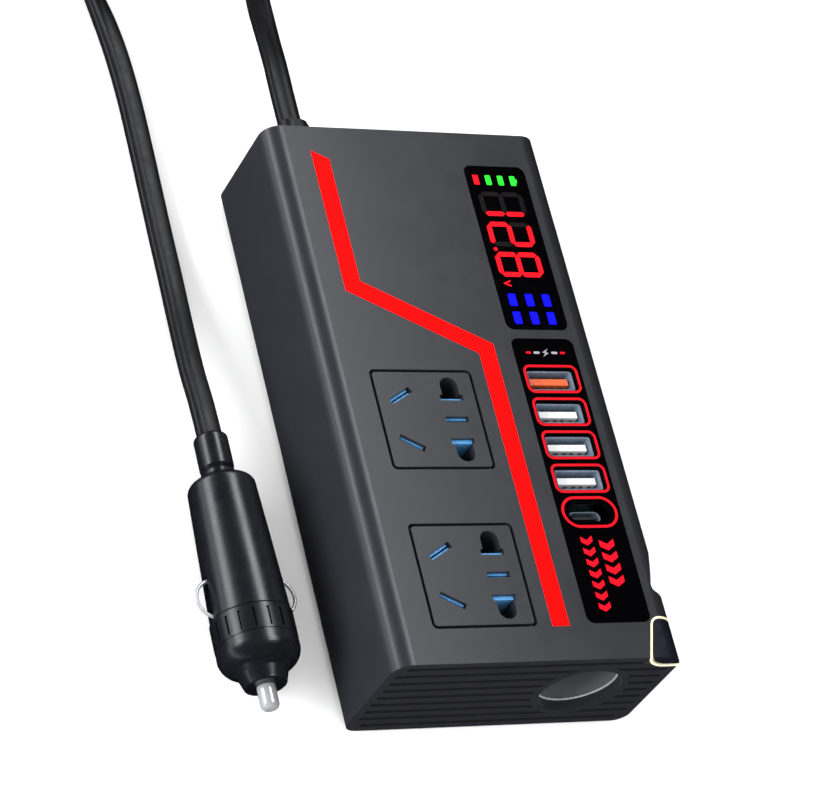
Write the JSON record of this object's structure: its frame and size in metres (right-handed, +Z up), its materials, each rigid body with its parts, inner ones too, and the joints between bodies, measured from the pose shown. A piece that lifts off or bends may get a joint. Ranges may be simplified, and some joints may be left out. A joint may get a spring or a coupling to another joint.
{
  "type": "car power inverter",
  "caption": "Flat box-shaped car power inverter with universal outlets, USB ports, a digital meter, a front grille with a car socket, and a tied flat cord ending in a car lighter plug.",
  "frame": {"origin": "on the ground below the middle of the case, cord and plug left out", "axes": "-Y points out of the grille end, +X to the right of the top face seen with the grille towards the viewer, +Z up"},
  "size_m": [0.1157, 0.3101, 0.0371],
  "materials": {
    "case_plastic": "fine satin moulding",
    "red_trim": "red inlaid stripe",
    "black_gloss": "mirror black",
    "lit_red": "glowing red",
    "lit_green": "glowing green",
    "lit_blue": "glowing blue",
    "unlit_segment": "unlit segment",
    "dark_plastic": "moulded black",
    "white_plastic": "white moulding",
    "orange_plastic": "orange moulding",
    "connector_steel": "plated sheet",
    "contact_brass": "plated spring brass",
    "red_print": "printed mark",
    "grey_print": "printed mark",
    "button_gloss": "polished navy black",
    "button_glow": "warm white light guide",
    "circuit_board": "solder mask",
    "ferrite": "sintered ferrite",
    "winding_wire": "enamelled wire",
    "heatsink_aluminium": "extruded",
    "screw_steel": "zinc plated",
    "foot_rubber": "soft rubber",
    "cord_rubber": "smooth cord jacket",
    "plug_gloss": "polished dark grey",
    "plug_chrome": "polished",
    "fuse_glass": "glass tube with metal ends"
  },
  "bodies": {
    "case": {"top_cover": "case_plastic", "bottom_cover": "case_plastic", "front_grille": "case_plastic", "rear_panel": "case_plastic", "accent_stripe": "red_trim", "display_window": "black_gloss", "digit_segments_lit": "lit_red", "digit_segments_dark": "unlit_segment", "charge_icon_red": "lit_red", "charge_icons_green": "lit_green", "load_bars_blue": "lit_blue", "display_module": "dark_plastic", "usb_panel": "black_gloss", "port_rings": "lit_red", "usb_a_shells": "connector_steel", "usb_a_tongues": "white_plastic", "usb_a_tongue_fast": "orange_plastic", "usb_a_contacts": "contact_brass", "usb_c_shell": "connector_steel", "usb_c_tongue": "dark_plastic", "panel_marks_red": "red_print", "panel_marks_grey": "grey_print", "outlet_insert_rear": "case_plastic", "outlet_insert_front": "case_plastic", "outlet_contacts_rear": "connector_steel", "outlet_contacts_front": "connector_steel", "power_button_ring": "button_glow", "power_switch": "dark_plastic", "car_socket_housing": "dark_plastic", "car_socket_cap": "dark_plastic", "car_socket_liner": "connector_steel", "car_socket_contact": "contact_brass", "main_board": "circuit_board", "usb_board": "circuit_board", "transformer_core": "ferrite", "transformer_winding": "winding_wire", "capacitors": "dark_plastic", "mosfets": "dark_plastic", "heatsink": "heatsink_aluminium", "fuses": "orange_plastic", "fan_frame": "dark_plastic", "housing_screws": "screw_steel", "rubber_feet": "foot_rubber", "cord_grommet": "cord_rubber", "cord_to_coil": "cord_rubber", "cord_coil": "cord_rubber", "cord_to_plug": "cord_rubber", "cord_tie": "dark_plastic", "plug_collar": "plug_gloss", "plug_body": "plug_gloss", "plug_ring": "plug_gloss"},
    "button": {"power_button": "button_gloss"},
    "fan": {"fan_rotor": "dark_plastic"},
    "fuse_carrier": {"plug_fuse": "fuse_glass", "plug_tip_spring": "screw_steel"},
    "nose_cap": {"plug_nose_cap": "plug_gloss"},
    "tip_pin": {"plug_tip_pin": "plug_chrome"},
    "side_spring_left": {"plug_side_spring_left": "plug_chrome"},
    "side_spring_right": {"plug_side_spring_right": "plug_chrome"}
  },
  "joints": [
    {"name": "button_press", "type": "slide", "parent": "case", "child": "button", "axis": [0, 0, -1], "range_m": [0, 0.0006], "stiffness_N_per_m": 600, "springref_m": -0.0005},
    {"name": "fan_spin", "type": "hinge", "parent": "case", "child": "fan", "pos_m": [0.014, 0.07, 0.0189], "axis": [0, 1, 0], "continuous": true},
    {"name": "fuse_slide", "type": "slide", "parent": "case", "child": "fuse_carrier", "axis": [0, -1, 0], "range_m": [0, 0.0036]},
    {"name": "nose_unscrew", "type": "hinge", "parent": "fuse_carrier", "child": "nose_cap", "pos_m": [-0.0622, -0.0622, 0.0106], "axis": [0, -1, 0], "range_deg": [0, 1080]},
    {"name": "tip_press", "type": "slide", "parent": "nose_cap", "child": "tip_pin", "axis": [0, 1, 0], "range_m": [0, 0.0023], "stiffness_N_per_m": 900, "springref_m": -0.001},
    {"name": "side_spring_left_press", "type": "slide", "parent": "case", "child": "side_spring_left", "axis": [1, 0, 0], "range_m": [0, 0.0018], "stiffness_N_per_m": 700, "springref_m": -0.0005},
    {"name": "side_spring_right_press", "type": "slide", "parent": "case", "child": "side_spring_right", "axis": [-1, 0, 0], "range_m": [0, 0.0018], "stiffness_N_per_m": 700, "springref_m": -0.0005}
  ],
  "couplings": [
    {"joint": "nose_unscrew", "follows": "fuse_slide", "rad_per_m": 5235}
  ]
}
